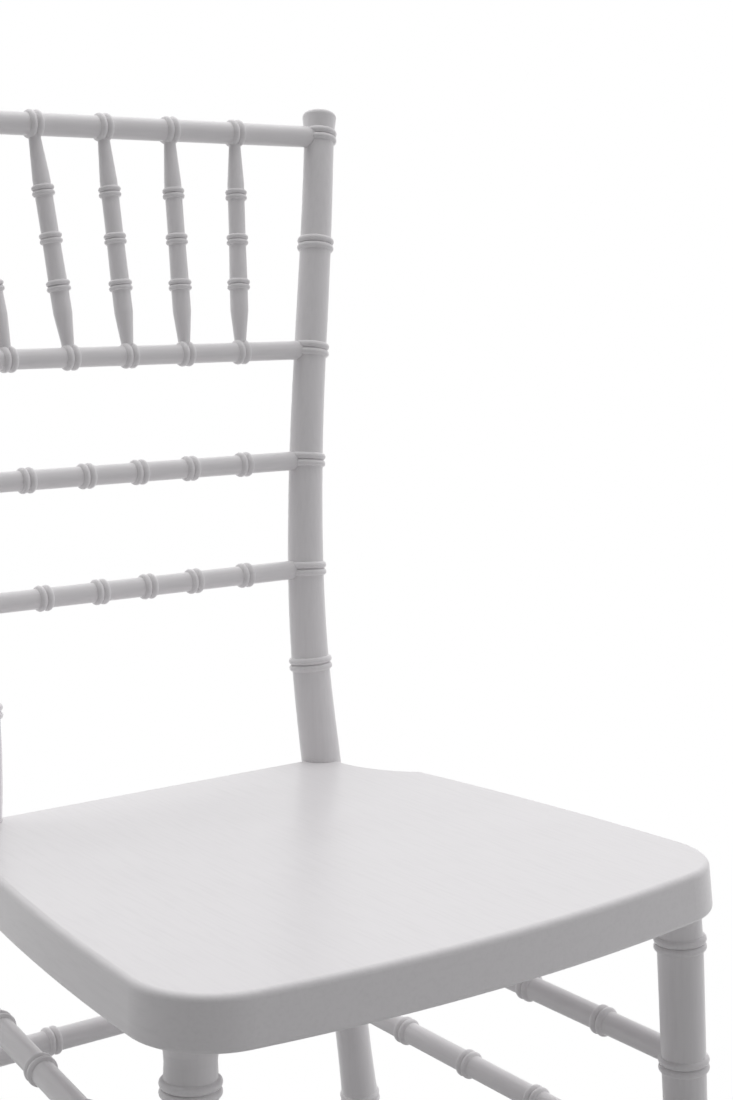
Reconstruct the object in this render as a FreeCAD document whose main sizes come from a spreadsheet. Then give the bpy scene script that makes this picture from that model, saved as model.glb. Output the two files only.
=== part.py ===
import FreeCAD, Part
import Sketcher
import math
import os
from FreeCAD import Placement, Rotation, Vector

# Chiavari chair in turned and painted beech, in millimetres.
# X runs to the sitter's left, Y to the back, Z up. The origin is on the floor,
# under the middle of the chair's box.
# Heights with "Below" in their name run down from the top of the seat, and
# those with "Above" run up from it. Set-backs run back from the line of the
# post axes at the top of the seat, and reaches run forward from it.

doc = FreeCAD.newDocument("chiavari_chair")
sheet = doc.addObject("Spreadsheet::Sheet", "Sizes")

driving = [
    # seat board
    ("seatHeight", 450.0),
    ("seatThickness", 30.0),
    ("seatDraft", 4.5),
    ("seatTopRound", 4.0),
    ("seatUnderRound", 3.0),
    ("seatBackSetBack", 3.0),
    ("seatFrontReach", 363.0),
    ("neckSpread", 141.0),
    ("neckReach", 12.0),
    ("shoulderMidSpread", 148.7),
    ("shoulderMidReach", 43.0),
    ("shoulderSpread", 171.2),
    ("shoulderReach", 71.2),
    ("shoulderRound", 9.0),
    ("sideMidSpread", 189.8),
    ("sideMidReach", 204.0),
    ("frontSpread", 198.4),
    ("frontCornerReach", 344.0),
    ("frontRound", 50.0),
    ("postNotchGap", 0.3),
    # line of a back post
    ("postFootSpread", 201.1),
    ("postFootSetBack", 10.2),
    ("postKneeBelow", 80.0),
    ("postKneeSpread", 145.6),
    ("postKneeSetBack", 0.6),
    ("postSeatSpread", 135.0),
    ("postWaistAbove", 70.2),
    ("postWaistSpread", 130.5),
    ("postWaistSetBack", 6.2),
    ("lowerRailAbove", 138.4),
    ("lowerRailSpread", 131.7),
    ("lowerRailSetBack", 13.4),
    ("upperRailAbove", 215.8),
    ("upperRailSpread", 138.6),
    ("upperRailSetBack", 22.4),
    ("spindleRailAbove", 294.2),
    ("spindleRailSpread", 150.3),
    ("spindleRailSetBack", 33.1),
    ("crestAbove", 447.4),
    ("crestSpread", 180.2),
    ("crestSetBack", 63.3),
    # thickness of a back post
    ("postFootDiameter", 24.0),
    ("postShinDiameter", 26.2),
    ("postShinBelow", 250.0),
    ("postSeatDiameter", 28.4),
    ("postMiddleDiameter", 23.8),
    ("postMiddleAbove", 235.0),
    ("postTopDiameter", 21.8),
    ("capBaseDiameter", 22.4),
    ("capDiameter", 25.6),
    ("capHeight", 13.6),
    ("capRound", 3.2),
    # front legs
    ("legTopSpread", 174.1),
    ("legTopReach", 321.3),
    ("legFootSpread", 190.5),
    ("legFootReach", 337.0),
    ("legDiameter", 28.6),
    ("legFootDiameter", 24.0),
    ("legNeckDiameter", 27.4),
    ("legNeckBelow", 41.0),
    ("legCollarDiameter", 31.0),
    ("legTenonDiameter", 20.0),
    ("legTenonDepth", 20.0),
    # rails and spindles of the back
    ("crestRailDiameter", 15.3),
    ("backRailDiameter", 13.4),
    ("railTenonDiameter", 9.0),
    ("crestRingInner", 52.4),
    ("crestRingOuter", 106.4),
    ("spindleRingInner", 44.6),
    ("spindleRingOuter", 90.3),
    ("upperRingInner", 40.5),
    ("upperRingOuter", 84.6),
    ("lowerRingInner", 36.9),
    ("lowerRingOuter", 78.9),
    ("spindleEndDiameter", 8.4),
    ("spindleDiameter", 12.7),
    ("spindleMiddleDiameter", 11.9),
    ("spindleTopDiameter", 8.0),
    ("spindleEndShare", 0.055),
    ("spindleLowTaper", 0.19),
    ("spindleLowRing", 0.306),
    ("spindleMidRing", 0.51),
    ("spindleHighRing", 0.715),
    ("spindleHighTaper", 0.765),
    ("spindleTopShare", 0.95),
    # stretchers between the legs
    ("stretcherDiameter", 15.5),
    ("stretcherTenonDiameter", 10.0),
    ("upperSideFrontBelow", 128.8),
    ("upperSideBackBelow", 108.7),
    ("lowerSideFrontBelow", 209.1),
    ("lowerSideBackBelow", 191.9),
    ("rearStretcherBelow", 161.7),
    ("rearRing", 86.6),
    ("frontUpperBelow", 170.0),
    ("frontLowerBelow", 248.0),
    ("frontRing", 92.0),
    # turned beads, always in pairs
    ("beadProud", 2.0),
    ("beadPitch", 5.0),
    ("spindleBeadProud", 1.7),
    ("spindleBeadPitch", 3.7),
    ("postUpperRingAbove", 369.4),
    ("postLowRingBelow", 271.5),
    ("postFootRingBelow", 351.0),
    ("legFirstRingBelow", 54.5),
    ("legRingPitch", 77.5),
    # joints and fittings
    ("glueGap", 0.1),
    ("driveGap", 0.03),
    ("shoulderSeat", 0.5),
    ("tenonClear", 1.5),
    ("glideDiameter", 19.0),
    ("glideHeight", 4.0),
    ("nailDiameter", 2.2),
    ("nailLength", 18.0),
    ("nailHeadDiameter", 6.0),
    ("nailHeadHeight", 1.2),
    ("nailHeadSunk", 1.0),
    ("nailHeadGap", 0.2),
    ("screwDiameter", 4.8),
    ("screwLength", 52.0),
    ("screwHeadDiameter", 9.0),
    ("screwHeadHeight", 3.0),
    ("screwHeadDepth", 8.0),
    ("screwTurn", 35.0),
    ("plugDiameter", 9.6),
    ("plugLift", 0.3),
]

for row, (alias, value) in enumerate(driving, start=1):
    sheet.set("A%d" % row, alias)
    sheet.set("B%d" % row, str(value))
    sheet.setAlias("B%d" % row, alias)
doc.recompute()


class Cells:
    def __getattr__(self, alias):
        return float(sheet.get(alias))


size = Cells()
upright = Vector(0, 0, 1)
finished = []


def bind(part, prop, expression):
    part.setExpression(prop, expression)


def cell(alias):
    return "Sizes." + alias


def finish(part, label):
    part.Label = label
    finished.append(part)
    return part


def along(point, direction, seam=None):
    """Placement with its Z along a direction; the seam of a round face looks to the seam."""
    if seam is None:
        seam = Vector(0, 1, 0) if abs(Vector(direction).normalize().y) < 0.7 else -upright
    return Placement(point, Rotation(seam, Vector(), Vector(direction), "ZXY"))


def cylinder(name, radius, start, end):
    """A round bar; radius is an expression on the sheet."""
    part = doc.addObject("Part::Cylinder", name)
    bind(part, "Radius", radius)
    part.Height = (end - start).Length
    part.Placement = along(start, end - start)
    return part


def fuse(name, parts):
    part = doc.addObject("Part::MultiFuse", name)
    part.Shapes = parts
    part.Refine = False
    return part


def cut(name, base, tool):
    part = doc.addObject("Part::Cut", name)
    part.Base = base
    part.Tool = tool
    part.Refine = False
    return part


def between(start, end, share):
    return start + (end - start) * share


# A pair of beads with a groove between them, turned on a round piece.
# Each bead is a ring whose section is a circle that stands proud of the wood.
def ringPair(name, point, direction, radius, proud="beadProud", pitch="beadPitch", seam=None):
    section = "((%s / 2) ^ 2 + %s ^ 2) / (2 * %s)" % (cell(pitch), cell(proud), cell(proud))
    beads = []
    step = Vector(direction).normalize() * (getattr(size, pitch) / 2)
    for side, place in (("a", point - step), ("b", point + step)):
        bead = doc.addObject("Part::Torus", name + "_" + side)
        bind(bead, "Radius2", section)
        bind(bead, "Radius1", "%s + %s - (%s)" % (radius, cell(proud), section))
        bead.Angle1 = -90
        bead.Angle2 = 90
        bead.Placement = along(place, direction, seam)
        beads.append(bead)
    return beads


# Line of a back post, from the floor to the top of its cap
def stationsOfPost():
    kneeHeight = size.seatHeight - size.postKneeBelow
    foot = Vector(size.postFootSpread, size.postFootSetBack, 0)
    knee = Vector(size.postKneeSpread, size.postKneeSetBack, kneeHeight)
    upper = [(size.postSeatSpread, 0, 0)]
    upper.append((size.postWaistSpread, size.postWaistSetBack, size.postWaistAbove))
    for rail in ("lowerRail", "upperRail", "spindleRail", "crest"):
        names = [rail + "Spread", rail + "SetBack", rail + "Above"]
        upper.append(tuple(getattr(size, name) for name in names))
    points = [foot, between(foot, knee, 0.5), knee]
    points += [Vector(x, y, size.seatHeight + above) for x, y, above in upper]
    return points


postLine = Part.BSplineCurve()
postLine.interpolate(stationsOfPost())


def onPostLine(height):
    """Point and direction of the post line at a height over the floor."""
    low, high = postLine.FirstParameter, postLine.LastParameter
    topPoint = postLine.value(high)
    if height >= topPoint.z:
        direction = Vector(postLine.tangent(high)[0])
        return topPoint + direction * ((height - topPoint.z) / direction.z), direction
    for _ in range(60):
        middle = (low + high) / 2
        if postLine.value(middle).z < height:
            low = middle
        else:
            high = middle
    return postLine.value(low), Vector(postLine.tangent(low)[0])


# The box of the chair runs from the seat's front edge to the back of the caps.
capStart, capLean = onPostLine(size.seatHeight + size.crestAbove)
capReach = size.beadPitch * 0.9 + size.capHeight - size.capRound
capPoint = capStart + capLean * capReach
capTilt = math.hypot(capLean.x, capLean.z)
capRim = size.capBaseDiameter / 2
capRim += (size.capDiameter - size.capBaseDiameter) / 2 * (1 - size.capRound / size.capHeight)
capBack = capPoint.y + (capRim - size.capRound) * capTilt + size.capRound
underSpread = (size.seatThickness - size.seatUnderRound) * math.tan(math.radians(size.seatDraft))
frontMost = size.seatFrontReach + underSpread
backLine = (frontMost - capBack) / 2


def place(side, x, setBack, height):
    return Vector(side * x, backLine + setBack, height)


def postPoint(side, height):
    point, direction = onPostLine(height)
    return place(side, point.x, point.y, point.z), Vector(side * direction.x, direction.y, direction.z)


def legPoint(side, height):
    top = place(side, size.legTopSpread, -size.legTopReach, size.seatHeight - size.seatThickness)
    foot = place(side, size.legFootSpread, -size.legFootReach, 0)
    return between(foot, top, height / top.z), top - foot


sides = (("right", -1), ("left", 1))


# Radius of a back post, as an expression on the sheet
def postRadius(above):
    stations = [
        (-size.seatHeight, "postFootDiameter"),
        (-size.postShinBelow, "postShinDiameter"),
        (0, "postSeatDiameter"),
        (size.postMiddleAbove, "postMiddleDiameter"),
        (size.crestAbove, "postTopDiameter"),
    ]
    for (low, lowName), (high, highName) in zip(stations, stations[1:]):
        if above <= high or highName == "postTopDiameter":
            share = min((above - low) / (high - low), 1)
            return "(%s * %.6f + %s * %.6f) / 2" % (cell(lowName), 1 - share, cell(highName), share)


postRingHeights = [
    size.crestAbove,
    size.postUpperRingAbove,
    size.spindleRailAbove,
    size.upperRailAbove,
    size.lowerRailAbove,
    size.postWaistAbove,
    -size.upperSideBackBelow,
    -size.lowerSideBackBelow,
    -size.postLowRingBelow,
    -size.postFootRingBelow,
]
postSections = [
    -size.seatHeight,
    -size.postShinBelow,
    -size.postKneeBelow * 2,
    -size.postKneeBelow,
    -size.seatThickness,
    0,
    size.postWaistAbove / 2,
    size.postWaistAbove,
    size.lowerRailAbove,
    size.upperRailAbove,
    size.spindleRailAbove,
    size.postUpperRingAbove,
    size.crestAbove,
    size.crestAbove + size.beadPitch,
]


# Back posts: a tapered round along the post line, with a cap and ring pairs
def makePostBlank(name, side):
    outward = Vector(side, -0.5, 0)
    rings = []
    for number, above in enumerate(postSections):
        ring = doc.addObject("Part::Circle", "%s_section_%d" % (name, number))
        bind(ring, "Radius", postRadius(above))
        point, direction = postPoint(side, size.seatHeight + above)
        ring.Placement = along(point, direction, Vector(side, 0.4, 0))
        rings.append(ring)
    shaft = doc.addObject("Part::Loft", name + "_shaft")
    shaft.Sections = rings
    shaft.Solid = True
    shaft.Ruled = False
    shaft.MaxDegree = 3
    pieces = [shaft]
    for number, above in enumerate(postRingHeights):
        point, direction = postPoint(side, size.seatHeight + above)
        tag = "%s_ring_%d" % (name, number)
        pieces += ringPair(tag, point, direction, postRadius(above), seam=outward)
    crest, direction = postPoint(side, size.seatHeight + size.crestAbove)
    neck = crest + direction * size.beadPitch * 0.9
    cone = doc.addObject("Part::Cone", name + "_cap_cone")
    bind(cone, "Radius1", cell("capBaseDiameter") + " / 2")
    bind(cone, "Radius2", cell("capDiameter") + " / 2")
    bind(cone, "Height", cell("capHeight"))
    cone.Placement = along(neck, direction)
    doc.recompute()
    cap = doc.addObject("Part::Fillet", name + "_cap")
    cap.Base = cone
    edges = cone.Shape.Edges
    round = [n for n, edge in enumerate(edges, start=1) if edge.Curve.TypeId == "Part::GeomCircle"]
    rim = max(round, key=lambda n: edges[n - 1].Curve.Radius)
    cap.Edges = [(rim, size.capRound, size.capRound)]
    pieces.append(cap)
    return fuse(name, pieces)


# Front legs: one turned profile, splayed, with ring pairs
def legRadius(below):
    share = (below - size.legFirstRingBelow) / (size.seatHeight - size.legFirstRingBelow)
    return "(%s * %.6f + %s * %.6f) / 2" % (cell("legDiameter"), 1 - share, cell("legFootDiameter"), share)


def pin(sketch, curve, end, across, up):
    """Hold one end of a sketch curve by two named sizes of the sheet."""
    for kind, expression in (("DistanceX", across), ("DistanceY", up)):
        here = sketch.getPoint(curve, end)
        value = here.x if kind == "DistanceX" else here.y
        number = sketch.addConstraint(Sketcher.Constraint(kind, -1, 1, curve, end, value))
        sketch.setExpression("Constraints[%d]" % number, expression)


def turnedBody(name, profile):
    """Turn a profile of (radius, height) points round the Z axis."""
    body = doc.addObject("PartDesign::Body", name)
    sketch = body.newObject("Sketcher::SketchObject", name + "_profile")
    plane = [f for f in body.Origin.OriginFeatures if f.Role == "XZ_Plane"][0]
    sketch.AttachmentSupport = [(plane, "")]
    sketch.MapMode = "FlatFace"
    corners = [Vector(radius, height, 0) for radius, height in profile]
    corners = [Vector(0, corners[0].y, 0)] + corners + [Vector(0, corners[-1].y, 0)]
    count = len(corners)
    for number in range(count):
        sketch.addGeometry(Part.LineSegment(corners[number], corners[(number + 1) % count]), False)
    for number in range(count):
        joint = Sketcher.Constraint("Coincident", number, 2, (number + 1) % count, 1)
        sketch.addConstraint(joint)
    turning = body.newObject("PartDesign::Revolution", name + "_turning")
    turning.Profile = sketch
    turning.ReferenceAxis = (sketch, ["V_Axis"])
    turning.Angle = 360
    body.Tip = turning
    return body, sketch


def makeLegBlank(name, side):
    top, direction = legPoint(side, size.seatHeight - size.seatThickness)
    foot, _ = legPoint(side, 0)
    length = (top - foot).Length
    share = length / top.z
    neck = length - (size.legNeckBelow - size.seatThickness) * share
    ring = length - (size.legFirstRingBelow - size.seatThickness) * share
    over = size.legCollarDiameter / 8
    cove = (neck + length) / 2
    profile = [
        (size.legFootDiameter / 2, 0),
        (size.legDiameter / 2, ring),
        (size.legNeckDiameter / 2, neck),
        (size.legNeckDiameter / 2 + (size.legCollarDiameter - size.legNeckDiameter) / 8, cove),
        (size.legCollarDiameter / 2, length),
        (size.legCollarDiameter / 2, length + over),
    ]
    body, sketch = turnedBody(name + "_shaft", profile)
    pin(sketch, 1, 1, cell("legFootDiameter") + " / 2", "0 mm")
    body.Placement = along(foot, direction)
    pieces = [body]
    for number in range(5):
        below = size.legFirstRingBelow + number * size.legRingPitch
        point, _ = legPoint(side, size.seatHeight - below)
        tag = "%s_ring_%d" % (name, number)
        outward = Vector(side, -0.5, 0)
        pieces += ringPair(tag, point, direction, legRadius(below), seam=outward)
    return fuse(name, pieces)


# What is cut from each piece is collected in lists and taken off at the end.
removed = {}


def remove(owner, tool):
    removed.setdefault(owner, []).append(tool)


gauge = doc.addObject("Part::Sphere", "gauge")


def radiusOf(expression):
    """Value of a radius expression, for working out where a shoulder lies."""
    bind(gauge, "Radius", expression)
    gauge.recompute()
    return gauge.Radius.Value


def turnedBar(label, diameter, tenonDiameter, ends, rings):
    """A turned bar: each end is housed in an upright, and its tenon goes deeper."""
    start, end = ends[0][0], ends[1][0]
    axis = (end - start).normalize()
    radius = cell(diameter) + " / 2"
    half = getattr(size, diameter) / 2
    shoulders = []
    for (point, owner, upright), inward in zip(ends, (axis, -axis)):
        inset = math.sqrt(radiusOf(upright) ** 2 - half ** 2) - size.shoulderSeat
        shoulder = point + inward * inset
        tip = point + inward * size.tenonClear
        tag = "%s_in_%s" % (label, owner)
        housing = "%s + %s" % (radius, cell("glueGap"))
        hole = "%s / 2 + %s" % (cell(tenonDiameter), cell("glueGap"))
        remove(owner, cylinder(tag + "_housing", housing, shoulder, shoulder + inward * half * 2))
        remove(owner, cylinder(tag + "_mortise", hole, point + inward * size.tenonClear / 2, shoulder + inward))
        shoulders.append((shoulder, tip))
    pieces = [
        cylinder(label + "_bar", radius, shoulders[0][0], shoulders[1][0]),
        cylinder(label + "_tenons", cell(tenonDiameter) + " / 2", shoulders[0][1], shoulders[1][1]),
    ]
    for number, point in enumerate(rings):
        pieces += ringPair("%s_ring_%d" % (label, number), point, axis, radius)
    return fuse(label + "_blank", pieces)


blanks = {}
for name, side in sides:
    blanks["back_post_" + name] = makePostBlank("post_blank_" + name, side)
    blanks["front_leg_" + name] = makeLegBlank("leg_blank_" + name, side)

# Rails of the back, from the top down: height, spread, set-back and ring pairs
backRails = {
    "crest_rail": ("crest", "crestRailDiameter", "crestRingInner", "crestRingOuter"),
    "spindle_rail": ("spindleRail", "backRailDiameter", "spindleRingInner", "spindleRingOuter"),
    "upper_back_rail": ("upperRail", "backRailDiameter", "upperRingInner", "upperRingOuter"),
    "lower_back_rail": ("lowerRail", "backRailDiameter", "lowerRingInner", "lowerRingOuter"),
}
railRings = {}
for label, (stem, diameter, inner, outer) in backRails.items():
    above = getattr(size, stem + "Above")
    setBack = getattr(size, stem + "SetBack")
    ends = []
    for name, side in sides:
        point = place(side, getattr(size, stem + "Spread"), setBack, size.seatHeight + above)
        ends.append((point, "back_post_" + name, postRadius(above)))
    offsets = [-getattr(size, outer), -getattr(size, inner), 0, getattr(size, inner), getattr(size, outer)]
    railRings[label] = [place(1, x, setBack, size.seatHeight + above) for x in offsets]
    blanks[label] = turnedBar(label, diameter, "railTenonDiameter", ends, railRings[label])

# Side, rear and front stretchers
for name, side in sides:
    for level, front, back in (
        ("upper", size.upperSideFrontBelow, size.upperSideBackBelow),
        ("lower", size.lowerSideFrontBelow, size.lowerSideBackBelow),
    ):
        frontPoint, _ = legPoint(side, size.seatHeight - front)
        backPoint, _ = postPoint(side, size.seatHeight - back)
        ends = [
            (frontPoint, "front_leg_" + name, legRadius(front)),
            (backPoint, "back_post_" + name, postRadius(-back)),
        ]
        rings = [between(frontPoint, backPoint, share / 5) for share in range(1, 5)]
        label = "%s_side_stretcher_%s" % (level, name)
        blanks[label] = turnedBar(label, "stretcherDiameter", "stretcherTenonDiameter", ends, rings)

for label, below, ring in (
    ("upper_front_stretcher", size.frontUpperBelow, size.frontRing),
    ("lower_front_stretcher", size.frontLowerBelow, size.frontRing),
    ("rear_stretcher", size.rearStretcherBelow, size.rearRing),
):
    ends = []
    for name, side in sides:
        if label == "rear_stretcher":
            point, _ = postPoint(side, size.seatHeight - below)
            ends.append((point, "back_post_" + name, postRadius(-below)))
        else:
            point, _ = legPoint(side, size.seatHeight - below)
            ends.append((point, "front_leg_" + name, legRadius(below)))
    middle = between(ends[0][0], ends[1][0], 0.5)
    rings = [middle + Vector(x, 0, 0) for x in (-ring, 0, ring)]
    blanks[label] = turnedBar(label, "stretcherDiameter", "stretcherTenonDiameter", ends, rings)

# Spindles: turned thick in the middle, and let straight into both rails
for number in range(5):
    label = "spindle_%d" % (number + 1)
    bottom = railRings["spindle_rail"][number]
    top = railRings["crest_rail"][number]
    axis = (top - bottom).normalize()
    tip = bottom + axis * size.tenonClear
    length = (top - axis * size.tenonClear - tip).Length
    across = (top - bottom).Length

    def heightOf(share):
        return across * share - size.tenonClear

    profile = [
        (size.spindleEndDiameter / 2, 0),
        (size.spindleEndDiameter / 2, heightOf(size.spindleEndShare)),
        (size.spindleDiameter / 2, heightOf(size.spindleLowTaper)),
        (size.spindleDiameter / 2, heightOf(size.spindleLowRing)),
        (size.spindleMiddleDiameter / 2, heightOf(size.spindleMidRing)),
        (size.spindleMiddleDiameter / 2, heightOf(size.spindleHighTaper)),
        (size.spindleTopDiameter / 2, heightOf(size.spindleTopShare)),
        (size.spindleTopDiameter / 2, length),
    ]
    body, sketch = turnedBody(label + "_shaft", profile)
    pin(sketch, 1, 1, cell("spindleEndDiameter") + " / 2", "0 mm")
    body.Placement = along(tip, axis)
    pieces = [body]
    for ringName, share, diameter in (
        ("low", size.spindleLowRing, "spindleDiameter"),
        ("mid", size.spindleMidRing, "spindleMiddleDiameter"),
        ("high", size.spindleHighRing, "spindleMiddleDiameter"),
    ):
        point = between(bottom, top, share)
        radius = cell(diameter) + " / 2"
        tag = "%s_ring_%s" % (label, ringName)
        pieces += ringPair(tag, point, axis, radius, "spindleBeadProud", "spindleBeadPitch")
    blanks[label] = fuse(label + "_blank", pieces)
    room = size.spindleEndDiameter
    hole = "%s / 2 + %s" % (cell("spindleEndDiameter"), cell("glueGap"))
    remove("spindle_rail", cylinder(label + "_low_mortise", hole, tip, tip + axis * room * 2))
    hole = "%s / 2 + %s" % (cell("spindleTopDiameter"), cell("glueGap"))
    high = top - axis * size.tenonClear / 2
    remove("crest_rail", cylinder(label + "_high_mortise", hole, high, high - axis * room * 2))

# Seat board: padded down from its top outline with a draft, then rounded
seatBody = doc.addObject("PartDesign::Body", "seat_board_body")
outline = seatBody.newObject("Sketcher::SketchObject", "seat_outline")
plane = [f for f in seatBody.Origin.OriginFeatures if f.Role == "XY_Plane"][0]
outline.AttachmentSupport = [(plane, "")]
outline.MapMode = "FlatFace"


def corner(side, spread, reach):
    return Vector(side * spread, -reach, 0)


backCorner = [corner(s, size.neckSpread, -size.seatBackSetBack) for s in (-1, 1)]
neckCorner = [corner(s, size.neckSpread, size.neckReach) for s in (-1, 1)]
shoulderMiddle = [corner(s, size.shoulderMidSpread, size.shoulderMidReach) for s in (-1, 1)]
shoulder = [corner(s, size.shoulderSpread, size.shoulderReach) for s in (-1, 1)]
sideMiddle = [corner(s, size.sideMidSpread, size.sideMidReach) for s in (-1, 1)]
frontCorner = [corner(s, size.frontSpread, size.frontCornerReach) for s in (-1, 1)]
frontMiddle = corner(1, 0, size.seatFrontReach)
loop = [
    Part.LineSegment(backCorner[0], backCorner[1]),
    Part.LineSegment(backCorner[1], neckCorner[1]),
    Part.Arc(neckCorner[1], shoulderMiddle[1], shoulder[1]),
    Part.Arc(shoulder[1], sideMiddle[1], frontCorner[1]),
    Part.Arc(frontCorner[1], frontMiddle, frontCorner[0]),
    Part.Arc(frontCorner[0], sideMiddle[0], shoulder[0]),
    Part.Arc(shoulder[0], shoulderMiddle[0], neckCorner[0]),
    Part.LineSegment(neckCorner[0], backCorner[0]),
]
outline.addGeometry(loop, False)
seatBody.Placement = Placement(Vector(0, backLine, size.seatHeight), Rotation())
doc.recompute()
board = seatBody.newObject("PartDesign::Pad", "board")
board.Profile = outline
bind(board, "Length", cell("seatThickness"))
board.Reversed = True
bind(board, "TaperAngle", cell("seatDraft"))
doc.recompute()


def edgesWhere(feature, test):
    return ["Edge%d" % n for n, edge in enumerate(feature.Shape.Edges, start=1) if test(edge)]


def isUpright(spread, reach):
    def test(edge):
        top = max((v.Point for v in edge.Vertexes), key=lambda p: p.z)
        low = min((v.Point for v in edge.Vertexes), key=lambda p: p.z)
        near = abs(abs(top.x) - spread) < 1 and abs(top.y + reach) < 1
        return near and top.z - low.z > size.seatThickness / 2
    return test


frontCorners = seatBody.newObject("PartDesign::Fillet", "front_corners")
frontCorners.Base = (board, edgesWhere(board, isUpright(size.frontSpread, size.frontCornerReach)))
bind(frontCorners, "Radius", cell("frontRound"))
doc.recompute()
sideCorners = seatBody.newObject("PartDesign::Fillet", "side_corners")
sideCorners.Base = (frontCorners, edgesWhere(frontCorners, isUpright(size.shoulderSpread, size.shoulderReach)))
bind(sideCorners, "Radius", cell("shoulderRound"))
doc.recompute()


def isLevel(height):
    def test(edge):
        return all(abs(v.Point.z - height) < 0.01 for v in edge.Vertexes)
    return test


topEdge = seatBody.newObject("PartDesign::Fillet", "top_edge")
topEdge.Base = (sideCorners, edgesWhere(sideCorners, isLevel(0)))
bind(topEdge, "Radius", cell("seatTopRound"))
doc.recompute()
underEdge = seatBody.newObject("PartDesign::Fillet", "under_edge")
underEdge.Base = (topEdge, edgesWhere(topEdge, isLevel(-size.seatThickness)))
bind(underEdge, "Radius", cell("seatUnderRound"))
seatBody.Tip = underEdge
doc.recompute()
blanks["seat_board"] = seatBody

# Notches for the posts, sockets for the front legs, and what the feet stand on
slab = doc.addObject("Part::Box", "above_seat_underside")
slab.Length = size.frontSpread * 3
slab.Width = size.seatFrontReach * 3
slab.Height = size.seatThickness
slab.Placement.Base = Vector(-slab.Length.Value / 2, -slab.Width.Value / 2, size.seatHeight - size.seatThickness)
floorSlab = doc.addObject("Part::Box", "under_feet")
floorSlab.Length = size.frontSpread * 3
floorSlab.Width = size.seatFrontReach * 3
bind(floorSlab, "Height", cell("glideHeight") + " * 4")
floorSlab.Placement.Base = Vector(-slab.Length.Value / 2, -slab.Width.Value / 2, -size.glideHeight * 3)

nails = []
screws = []
plugs = []
for name, side in sides:
    low, _ = postPoint(side, size.seatHeight - size.seatThickness * 1.2)
    high, _ = postPoint(side, size.seatHeight + size.seatThickness * 0.2)
    notch = cell("postSeatDiameter") + " / 2 + " + cell("postNotchGap")
    remove("seat_board", cylinder("post_notch_" + name, notch, low, high))

    leg = "front_leg_" + name
    under, direction = legPoint(side, size.seatHeight - size.seatThickness)
    rise = Vector(direction).normalize()
    tip = under + rise * size.legTenonDepth
    peg = cylinder(leg + "_tenon", cell("legTenonDiameter") + " / 2", under - rise * 5, tip)
    trimmed = cut(leg + "_trimmed", blanks[leg], slab)
    blanks[leg] = fuse(leg + "_tenoned", [trimmed, peg])
    socket = "%s / 2 + %s" % (cell("legTenonDiameter"), cell("glueGap"))
    remove("seat_board", cylinder(leg + "_socket", socket, under - rise * 5, tip + rise * size.glueGap * 5))

    # Glide and nail under each of the two feet on this side
    for foot, centre in (("front", legPoint(side, size.glideHeight)[0]), ("back", postPoint(side, size.glideHeight)[0])):
        owner = leg if foot == "front" else "back_post_" + name
        remove(owner, floorSlab)
        base = Vector(centre.x, centre.y, 0)
        disc = cylinder("%s_disc_%s" % (foot, name), cell("glideDiameter") + " / 2", base, base + upright * size.glideHeight)
        seatOfHead = base + upright * (size.nailHeadSunk + size.nailHeadHeight)
        recess = "%s / 2 + %s" % (cell("nailHeadDiameter"), cell("nailHeadGap"))
        bore = "%s / 2 + %s" % (cell("nailDiameter"), cell("driveGap"))
        topOfNail = seatOfHead + upright * size.nailLength
        tag = "%s_%s" % (foot, name)
        remove("glide_" + tag, cylinder("head_recess_" + tag, recess, base - upright, seatOfHead))
        hole = cylinder("nail_hole_" + tag, bore, base - upright, topOfNail + upright * size.glueGap * 5)
        remove("glide_" + tag, hole)
        remove(owner, hole)
        blanks["glide_" + tag] = disc
        head = cylinder("nail_head_" + tag, cell("nailHeadDiameter") + " / 2", base + upright * size.nailHeadSunk, seatOfHead)
        shank = cylinder("nail_shank_" + tag, cell("nailDiameter") + " / 2", base + upright * size.nailHeadSunk, topOfNail)
        nails.append(fuse("nail_" + tag, [head, shank]))

    # Screw from behind through the post into the seat, and the plug over its head
    owner = "back_post_" + name
    level, _ = postPoint(side, size.seatHeight - size.seatThickness / 2)
    turn = math.radians(size.screwTurn)
    ahead = Vector(-side * math.sin(turn), -math.cos(turn), 0)
    skin = level - ahead * (size.postSeatDiameter / 2)
    headSeat = skin + ahead * size.screwHeadDepth
    headTop = headSeat - ahead * size.screwHeadHeight
    point = headSeat + ahead * size.screwLength
    bore = "%s / 2 + %s" % (cell("screwDiameter"), cell("driveGap"))
    hole = cylinder("screw_hole_" + name, bore, headTop, point + ahead * size.glueGap * 5)
    recess = cylinder(
        "plug_hole_" + name,
        "%s / 2 + %s" % (cell("plugDiameter"), cell("glueGap")),
        skin - ahead * size.postSeatDiameter / 2,
        headSeat,
    )
    remove(owner, hole)
    remove(owner, recess)
    remove("seat_board", hole)
    head = cylinder("screw_head_" + name, cell("screwHeadDiameter") + " / 2", headTop, headSeat)
    shank = cylinder("screw_shank_" + name, cell("screwDiameter") + " / 2", headTop, point)
    screws.append(fuse("post_screw_" + name, [head, shank]))
    dowel = cylinder(
        "plug_dowel_" + name,
        cell("plugDiameter") + " / 2",
        skin - ahead * size.postSeatDiameter / 2,
        headTop - ahead * size.plugLift,
    )
    plug = doc.addObject("Part::Common", "plug_" + name)
    plug.Base = dowel
    plug.Tool = cylinder("post_skin_" + name, cell("postSeatDiameter") + " / 2", low, high)
    plugs.append(plug)

doc.recompute()


doc.removeObject(gauge.Name)


def group(label, members):
    part = doc.addObject("Part::Compound", label)
    part.Links = members
    return finish(part, label)


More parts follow.
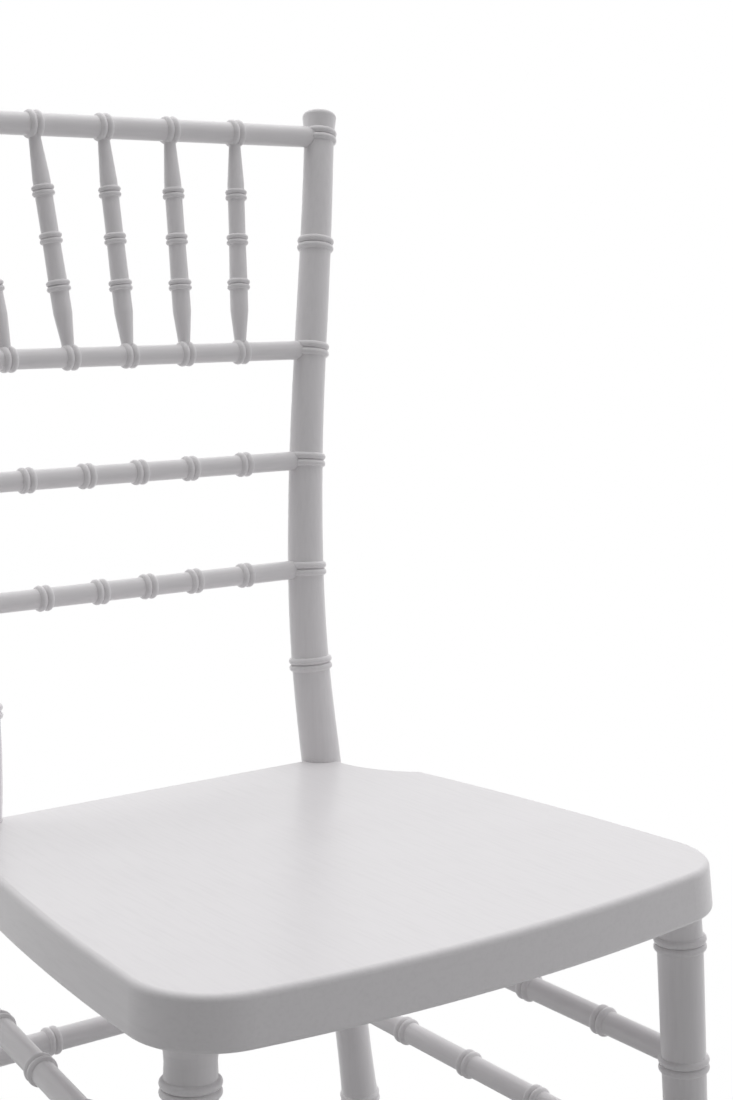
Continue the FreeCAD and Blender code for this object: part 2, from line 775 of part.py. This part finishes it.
for label, blank in blanks.items():
    tools = removed.get(label, [])
    if not tools:
        finish(blank, label)
        continue
    tool = tools[0] if len(tools) == 1 else fuse(label + "_tools", tools)
    finish(cut(label + "_finished", blank, tool), label)
group("glide_nails", nails)
group("post_screws", screws)
group("screw_plugs", plugs)
doc.recompute()

for part in doc.Objects:
    if "Invalid" in part.State or "Error" in part.State:
        raise RuntimeError("%s is %s" % (part.Name, part.State))
for part in finished:
    if part.Shape.isNull() or not part.Shape.isValid() or not part.Shape.Solids:
        raise RuntimeError("%s has no valid solid" % part.Label)

os.makedirs("parts", exist_ok=True)
for part in finished:
    part.Shape.exportStep("parts/%s.step" % part.Label)
box = Part.makeCompound([part.Shape for part in finished]).BoundBox
print("pieces:", len(finished))
print("box:", [round(v, 3) for v in (box.XMin, box.XMax, box.YMin, box.YMax, box.ZMin, box.ZMax)])
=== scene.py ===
import math

import bpy
from mathutils import Euler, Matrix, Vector

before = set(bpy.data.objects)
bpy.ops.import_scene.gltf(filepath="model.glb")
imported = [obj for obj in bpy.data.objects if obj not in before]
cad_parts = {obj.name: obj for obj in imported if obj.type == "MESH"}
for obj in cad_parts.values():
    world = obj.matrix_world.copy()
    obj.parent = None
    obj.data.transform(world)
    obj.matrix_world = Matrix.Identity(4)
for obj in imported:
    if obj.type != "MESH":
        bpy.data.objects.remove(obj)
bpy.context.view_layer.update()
print("stage: frame loaded")


# the owner of a node tree is a material or the world
def addNode(owner, kind, **values):
    node = owner.node_tree.nodes.new(kind)
    for key, value in values.items():
        if key in node.inputs:
            node.inputs[key].default_value = value
        else:
            setattr(node, key, value)
    return node


def link(owner, source, target):
    owner.node_tree.links.new(source, target)


# both terms are sockets or plain numbers
def combine(owner, operation, *terms):
    node = addNode(owner, "ShaderNodeMath", operation=operation)
    for term, socket in zip(terms, node.inputs):
        if isinstance(term, float):
            socket.default_value = term
        else:
            link(owner, term, socket)
    return node.outputs[0]


def ramp(owner, source, stops):
    node = addNode(owner, "ShaderNodeValToRGB")
    for element, (position, shade) in zip(node.color_ramp.elements, stops):
        element.position = position
        element.color = (*shade, 1) if isinstance(shade, tuple) else (shade, shade, shade, 1)
    link(owner, source, node.inputs["Fac"])
    return node.outputs["Color"]


# 1 for what the camera sees straight, in a reflection or through glass
def seenShare(owner):
    path = addNode(owner, "ShaderNodeLightPath")
    share = combine(owner, "MAXIMUM", path.outputs["Is Camera Ray"], path.outputs["Is Glossy Ray"])
    return combine(owner, "MAXIMUM", share, path.outputs["Is Transmission Ray"])


def newMaterial(name):
    material = bpy.data.materials.new(name)
    material.use_nodes = True
    material.node_tree.nodes.clear()
    output = addNode(material, "ShaderNodeOutputMaterial")
    shader = addNode(material, "ShaderNodeBsdfPrincipled")
    link(material, shader.outputs["BSDF"], output.inputs["Surface"])
    return material, shader, output


# gloss that drifts between two values from place to place
def patchyGloss(material, shader, place, settings):
    patches = addNode(
        material, "ShaderNodeTexNoise", Scale=settings["patchScale"], Detail=settings["patchDetail"]
    )
    link(material, place.outputs["Object"], patches.inputs["Vector"])
    smooth, rough = settings["roughness"]
    gloss = ramp(material, patches.outputs["Fac"], [(0.35, smooth), (0.70, rough)])
    link(material, gloss, shader.inputs["Roughness"])


# white satin paint that lets the grain show a little
paintLook = {
    "paint": (0.815, 0.798, 0.808),
    "paintThin": (0.785, 0.768, 0.778),  # where the coat is thin over a dense band
    "roughness": (0.28, 0.37),
    "patchScale": 14.0,
    "patchDetail": 3.0,
    "grainScale": 420.0,
    "grainStretch": 0.06,  # how far the grain is drawn out along the piece
    "grainBump": 0.03,
    "grainDepth": 0.0004,
    "shine": 0.5,
}


def paintedWood(name, grainAxis, settings=paintLook):
    material, shader, output = newMaterial(name)
    place = addNode(material, "ShaderNodeTexCoord")
    stretch = addNode(material, "ShaderNodeMapping")
    scales = [settings["grainStretch"] if axis == grainAxis else 1 for axis in "XYZ"]
    stretch.inputs["Scale"].default_value = scales
    link(material, place.outputs["Object"], stretch.inputs["Vector"])
    grain = addNode(
        material, "ShaderNodeTexNoise", Scale=settings["grainScale"], Detail=4.0, Roughness=0.6
    )
    link(material, stretch.outputs["Vector"], grain.inputs["Vector"])
    coats = [(0.30, settings["paintThin"]), (0.55, settings["paint"])]
    link(material, ramp(material, grain.outputs["Fac"], coats), shader.inputs["Base Color"])
    patchyGloss(material, shader, place, settings)
    bump = addNode(
        material, "ShaderNodeBump", Strength=settings["grainBump"], Distance=settings["grainDepth"]
    )
    link(material, grain.outputs["Fac"], bump.inputs["Height"])
    link(material, bump.outputs["Normal"], shader.inputs["Normal"])
    shader.inputs["Specular IOR Level"].default_value = settings["shine"]
    return material


steelLook = {
    "colour": (0.62, 0.62, 0.64),
    "metal": 1.0,
    "roughness": (0.28, 0.45),
    "patchScale": 600.0,
    "patchDetail": 2.0,
}
nylonLook = {
    "colour": (0.80, 0.80, 0.81),
    "metal": 0.0,
    "roughness": (0.45, 0.60),
    "patchScale": 900.0,
    "patchDetail": 2.0,
}


def evenFinish(name, settings):
    material, shader, output = newMaterial(name)
    patchyGloss(material, shader, addNode(material, "ShaderNodeTexCoord"), settings)
    shader.inputs["Base Color"].default_value = (*settings["colour"], 1)
    shader.inputs["Metallic"].default_value = settings["metal"]
    return material


paintAlong = {axis: paintedWood("paintGrain" + axis, axis) for axis in "XYZ"}
steel = evenFinish("platedSteel", steelLook)
nylonWhite = evenFinish("nylonWhite", nylonLook)


# the grain runs along each piece, and on the seat from front to back
def finishOf(name):
    if name in ("glide_nails", "post_screws"):
        return steel
    if name.startswith("glide_"):
        return nylonWhite
    if name == "seat_board" or "side_stretcher" in name:
        return paintAlong["Y"]
    if "rail" in name or "stretcher" in name:
        return paintAlong["X"]
    return paintAlong["Z"]


for name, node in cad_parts.items():
    for slot in node.material_slots:
        slot.material = finishOf(name)
print("stage: materials")


view = {
    "place": (-0.6564, -0.9714, 0.8065),
    "yaw": -36.77,  # degrees, turned towards the sitter's left
    "down": 8.469,  # degrees below level
    "focalPixels": 1929.3,
    "pictureHeight": 1100,  # in the same pixels
    "sensor": 36,  # mm
    "farEnd": 60,  # m
}
cameraData = bpy.data.cameras.new("camera")
camera = bpy.data.objects.new("camera", cameraData)
bpy.context.scene.collection.objects.link(camera)
bpy.context.scene.camera = camera
cameraData.sensor_fit = "VERTICAL"
cameraData.sensor_height = view["sensor"]
cameraData.lens = view["focalPixels"] / view["pictureHeight"] * view["sensor"]
cameraData.clip_end = view["farEnd"]
camera.location = view["place"]
tilt = math.radians(90 - view["down"])
camera.rotation_euler = Euler((tilt, 0, math.radians(view["yaw"])), "XYZ")


floorLook = {
    "bounce": 0.56,  # how much of the light the floor sends back up to the chair
    "paint": 0.90,  # the floor's own pale tone, as the camera sees it
    "roughness": 0.6,
    "shine": 0.2,
    "halfWidth": 6.0,
    "shadowRadius": 0.28,  # inside it the floor is plain paint, which keeps the chair's shadow
    "whiteRadius": 0.60,  # outside it the camera sees plain white
}


def paleFloor(name, settings=floorLook):
    material, shader, output = newMaterial(name)
    shader.inputs["Roughness"].default_value = settings["roughness"]
    shader.inputs["Specular IOR Level"].default_value = settings["shine"]
    path = addNode(material, "ShaderNodeLightPath")
    tones = [(0.0, settings["bounce"]), (1.0, settings["paint"])]
    tone = ramp(material, path.outputs["Is Camera Ray"], tones)
    link(material, tone, shader.inputs["Base Color"])
    place = addNode(material, "ShaderNodeTexCoord")
    distance = addNode(material, "ShaderNodeVectorMath", operation="LENGTH")
    link(material, place.outputs["Object"], distance.inputs[0])
    fade = addNode(material, "ShaderNodeMapRange", interpolation_type="SMOOTHSTEP")
    fade.inputs["From Min"].default_value = settings["shadowRadius"]
    fade.inputs["From Max"].default_value = settings["whiteRadius"]
    link(material, distance.outputs["Value"], fade.inputs["Value"])
    whiteShare = combine(material, "MULTIPLY", seenShare(material), fade.outputs["Result"])
    white = addNode(material, "ShaderNodeEmission", Strength=1.0)
    mix = addNode(material, "ShaderNodeMixShader")
    link(material, whiteShare, mix.inputs[0])
    link(material, shader.outputs[0], mix.inputs[1])
    link(material, white.outputs[0], mix.inputs[2])
    link(material, mix.outputs[0], output.inputs["Surface"])
    return material


bpy.ops.mesh.primitive_plane_add(size=floorLook["halfWidth"] * 2)
floor = bpy.context.object
floor.name = "floor"
floor.data.materials.append(paleFloor("paleFloor"))


lamps = {
    "overheadPanel": {"place": (0.0, 0.5, 2.6), "width": 2.4, "power": 31.0, "aim": (0.0, 0.0, 0.45)},
    "backPanel": {"place": (0.4, 2.6, 1.6), "width": 2.2, "power": 3.0, "aim": (0.0, 0.0, 0.6)},
}
for name, settings in lamps.items():
    lamp = bpy.data.lights.new(name, "AREA")
    lamp.shape = "SQUARE"
    lamp.size = settings["width"]
    lamp.energy = settings["power"]
    holder = bpy.data.objects.new(name, lamp)
    bpy.context.scene.collection.objects.link(holder)
    holder.location = settings["place"]
    beam = Vector(settings["aim"]) - Vector(settings["place"])
    holder.rotation_euler = beam.to_track_quat("-Z", "Y").to_euler()
    holder.visible_camera = False
    holder.visible_glossy = False


# light that the studio's walls send to the chair: an even share, and more from each side
studioLook = {
    "even": 0.11,
    "sides": {"back": ("Y", 0.55), "left": ("X", -0.05), "right": ("X", 1.15)},
    "colour": (0.99, 0.985, 1.0),
}


def studioWorld(name, settings=studioLook):
    world = bpy.data.worlds.new(name)
    world.use_nodes = True
    world.node_tree.nodes.clear()
    place = addNode(world, "ShaderNodeTexCoord")
    direction = addNode(world, "ShaderNodeSeparateXYZ")
    link(world, place.outputs["Generated"], direction.inputs[0])
    strength = settings["even"]
    for axis, share in settings["sides"].values():
        facing = combine(world, "MULTIPLY", direction.outputs[axis], share)
        strength = combine(world, "ADD", combine(world, "MAXIMUM", facing, 0.0), strength)
    fill = addNode(world, "ShaderNodeBackground")
    fill.inputs["Color"].default_value = (*settings["colour"], 1)
    link(world, strength, fill.inputs["Strength"])
    white = addNode(world, "ShaderNodeBackground", Strength=1.0)
    white.inputs["Color"].default_value = (1, 1, 1, 1)
    mix = addNode(world, "ShaderNodeMixShader")
    link(world, seenShare(world), mix.inputs[0])
    link(world, fill.outputs[0], mix.inputs[1])
    link(world, white.outputs[0], mix.inputs[2])
    link(world, mix.outputs[0], addNode(world, "ShaderNodeOutputWorld").inputs["Surface"])
    return world


bpy.context.scene.world = studioWorld("studio")
bpy.context.scene.view_settings.view_transform = "Standard"
print("stage: camera, floor and light")
